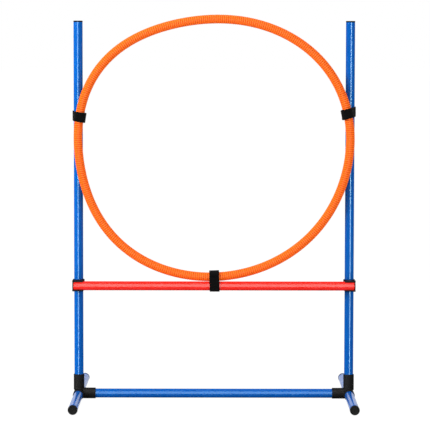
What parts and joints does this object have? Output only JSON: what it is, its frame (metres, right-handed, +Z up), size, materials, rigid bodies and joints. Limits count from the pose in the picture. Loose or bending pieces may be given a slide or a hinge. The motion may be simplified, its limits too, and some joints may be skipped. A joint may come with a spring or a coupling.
{
  "type": "dog agility hurdle",
  "caption": "Push-fit tube frame for dog agility training, with a height-adjustable jump bar and a corrugated hoop strapped above it.",
  "frame": {"origin": "on the floor, midway between the two uprights and in their plane", "axes": "+X from the left upright to the right one, +Z up, -Y the side that carries the bar and the hoop"},
  "size_m": [0.747, 0.58, 1.016],
  "materials": {
    "blue_tube": "glossy saturated blue tube",
    "red_tube": "glossy bright red tube",
    "orange_hose": "satin orange corrugated hose",
    "black_moulding": "fine-textured black moulding",
    "black_cap": "semi-gloss black plug",
    "white_sleeve": "natural white sleeve, out of sight",
    "black_strap": "black woven hook-and-loop strap"
  },
  "bodies": {
    "base": {"base_cross_tube": "blue_tube", "left_corner_connector": "black_moulding", "right_corner_connector": "black_moulding"},
    "left_front_foot": {"left_front_foot_tube": "blue_tube", "left_front_foot_cap": "black_cap"},
    "left_rear_foot": {"left_rear_foot_tube": "blue_tube", "left_rear_foot_cap": "black_cap"},
    "right_front_foot": {"right_front_foot_tube": "blue_tube", "right_front_foot_cap": "black_cap"},
    "right_rear_foot": {"right_rear_foot_tube": "blue_tube", "right_rear_foot_cap": "black_cap"},
    "left_post": {"left_upright": "blue_tube", "left_upright_cap": "black_cap"},
    "right_post": {"right_upright": "blue_tube", "right_upright_cap": "black_cap"},
    "hoop": {"hoop_hose": "orange_hose", "hoop_joiner": "white_sleeve", "left_hoop_strap": "black_strap", "right_hoop_strap": "black_strap", "lower_hoop_strap": "black_strap"},
    "left_clip": {"left_bar_clip": "black_moulding"},
    "right_clip": {"right_bar_clip": "black_moulding"},
    "bar": {"jump_bar": "red_tube", "left_bar_cap": "black_cap", "right_bar_cap": "black_cap"}
  },
  "joints": [
    {"name": "left_post_pull_out", "type": "slide", "parent": "base", "child": "left_post", "axis": [0, 0, 1], "range_m": [0, 0.034]},
    {"name": "right_post_pull_out", "type": "slide", "parent": "base", "child": "right_post", "axis": [0, 0, 1], "range_m": [0, 0.034]},
    {"name": "jump_height", "type": "slide", "parent": "left_post", "child": "hoop", "axis": [0, 0, 1], "range_m": [-0.215, 0.225]},
    {"name": "left_clip_height", "type": "slide", "parent": "left_post", "child": "left_clip", "axis": [0, 0, 1], "range_m": [-0.215, 0.225]},
    {"name": "right_clip_height", "type": "slide", "parent": "right_post", "child": "right_clip", "axis": [0, 0, 1], "range_m": [-0.215, 0.225]},
    {"name": "bar_roll", "type": "hinge", "parent": "left_clip", "child": "bar", "pos_m": [0, -0.028, 0.303], "axis": [1, 0, 0], "continuous": true},
    {"name": "left_front_foot_pull_out", "type": "slide", "parent": "base", "child": "left_front_foot", "axis": [0, -1, 0], "range_m": [0, 0.025]},
    {"name": "left_rear_foot_pull_out", "type": "slide", "parent": "base", "child": "left_rear_foot", "axis": [0, 1, 0], "range_m": [0, 0.025]},
    {"name": "right_front_foot_pull_out", "type": "slide", "parent": "base", "child": "right_front_foot", "axis": [0, -1, 0], "range_m": [0, 0.025]},
    {"name": "right_rear_foot_pull_out", "type": "slide", "parent": "base", "child": "right_rear_foot", "axis": [0, 1, 0], "range_m": [0, 0.025]}
  ],
  "couplings": [
    {"joint": "right_post_pull_out", "follows": "left_post_pull_out", "ratio": 1},
    {"joint": "left_clip_height", "follows": "jump_height", "ratio": 1},
    {"joint": "right_clip_height", "follows": "jump_height", "ratio": 1}
  ]
}
